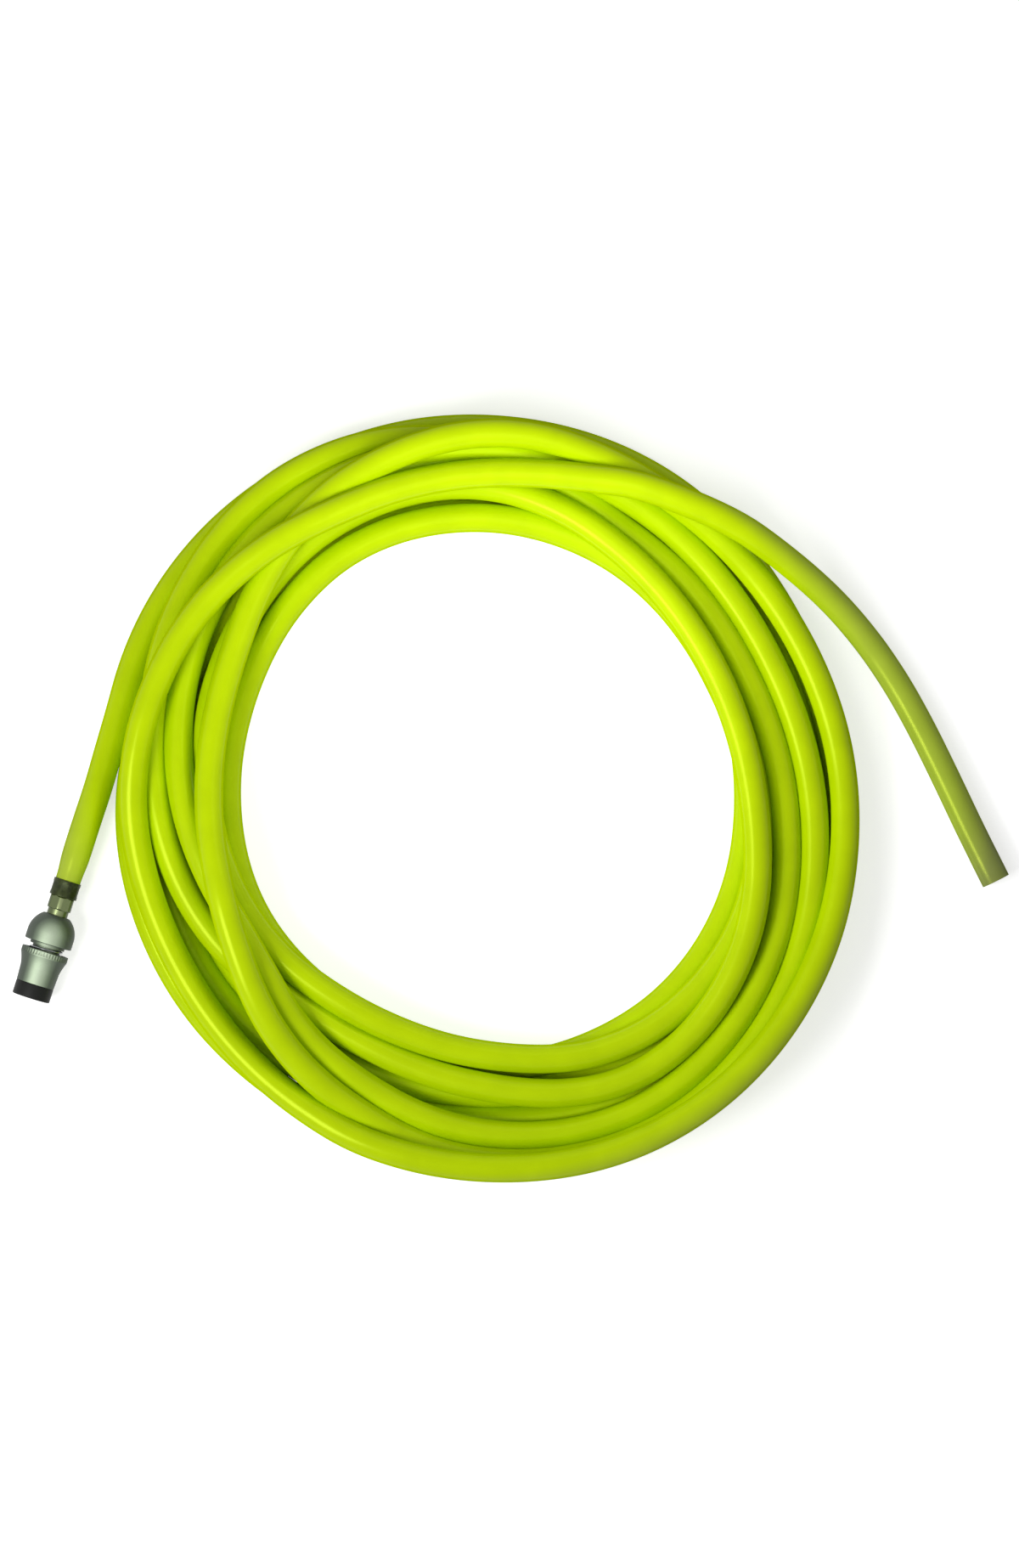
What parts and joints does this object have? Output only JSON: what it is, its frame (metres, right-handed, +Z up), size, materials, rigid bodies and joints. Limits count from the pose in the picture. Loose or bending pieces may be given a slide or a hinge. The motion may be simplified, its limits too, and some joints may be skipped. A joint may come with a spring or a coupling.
{
  "type": "coiled air hose",
  "caption": "Flexible hose in a loose flat coil, with a plated quick-release coupling on one end and a plain cut on the other.",
  "frame": {"origin": "bottom centre of the whole object, on the surface that it lies on", "axes": "+Z up out of the flat coil; +X along the longest extent, from the coupling's side to the cut end's side; +Y in the plane of the coil"},
  "size_m": [0.5186, 0.4, 0.0502],
  "materials": {
    "hose_cover": "smooth fluorescent yellow-green",
    "hose_liner": "matt black",
    "hose_braid": "white textile braid",
    "plated_steel": "bright plating, turned",
    "dark_steel": "dark conversion coating",
    "black_rubber": "matt black",
    "seal_rubber": "matt black",
    "valve_brass": "turned brass",
    "spring_steel": "drawn wire",
    "ball_steel": "polished"
  },
  "bodies": {
    "hose": {"hose_coil": "hose_cover", "coupling_tail": "hose_cover", "free_tail": "hose_cover", "hose_end_liner": "hose_liner", "hose_end_braid": "hose_braid", "hose_end_cover": "hose_cover", "hose_neck": "hose_cover", "hose_stem": "plated_steel", "crimp_ferrule": "dark_steel", "rear_housing": "plated_steel", "housing_gasket": "seal_rubber", "front_barrel": "plated_steel", "plug_seal": "seal_rubber", "valve_spring": "spring_steel", "sleeve_spring": "spring_steel", "stop_ring": "spring_steel"},
    "sleeve": {"release_sleeve": "plated_steel", "nose_ring": "black_rubber"},
    "poppet": {"valve_poppet": "valve_brass", "valve_seal": "seal_rubber"},
    "ball_1": {"locking_ball_1": "ball_steel"},
    "ball_2": {"locking_ball_2": "ball_steel"},
    "ball_3": {"locking_ball_3": "ball_steel"},
    "ball_4": {"locking_ball_4": "ball_steel"},
    "ball_5": {"locking_ball_5": "ball_steel"},
    "ball_6": {"locking_ball_6": "ball_steel"}
  },
  "joints": [
    {"name": "sleeve_pull", "type": "slide", "parent": "hose", "child": "sleeve", "axis": [0.3028, 0.953, 0], "range_m": [0, 0.0035], "stiffness_N_per_m": 600, "springref_m": -0.006, "deforming": ["sleeve_spring"]},
    {"name": "poppet_push", "type": "slide", "parent": "hose", "child": "poppet", "axis": [0.3028, 0.953, 0], "range_m": [0, 0.003], "stiffness_N_per_m": 300, "springref_m": -0.005, "deforming": ["valve_spring"]},
    {"name": "ball_lift_1", "type": "slide", "parent": "hose", "child": "ball_1", "axis": [0.953, -0.3028, 0], "range_m": [0, 0.0007497]},
    {"name": "ball_lift_2", "type": "slide", "parent": "hose", "child": "ball_2", "axis": [0.4765, -0.1514, 0.866], "range_m": [0, 0.0007497]},
    {"name": "ball_lift_3", "type": "slide", "parent": "hose", "child": "ball_3", "axis": [-0.4765, 0.1514, 0.866], "range_m": [0, 0.0007497]},
    {"name": "ball_lift_4", "type": "slide", "parent": "hose", "child": "ball_4", "axis": [-0.953, 0.3028, 0], "range_m": [0, 0.0007497]},
    {"name": "ball_lift_5", "type": "slide", "parent": "hose", "child": "ball_5", "axis": [-0.4765, 0.1514, -0.866], "range_m": [0, 0.0007497]},
    {"name": "ball_lift_6", "type": "slide", "parent": "hose", "child": "ball_6", "axis": [0.4765, -0.1514, -0.866], "range_m": [0, 0.0007497]}
  ],
  "couplings": [
    {"joint": "ball_lift_1", "follows": "sleeve_pull", "ratio": 0.21},
    {"joint": "ball_lift_2", "follows": "sleeve_pull", "ratio": 0.21},
    {"joint": "ball_lift_3", "follows": "sleeve_pull", "ratio": 0.21},
    {"joint": "ball_lift_4", "follows": "sleeve_pull", "ratio": 0.21},
    {"joint": "ball_lift_5", "follows": "sleeve_pull", "ratio": 0.21},
    {"joint": "ball_lift_6", "follows": "sleeve_pull", "ratio": 0.21}
  ]
}
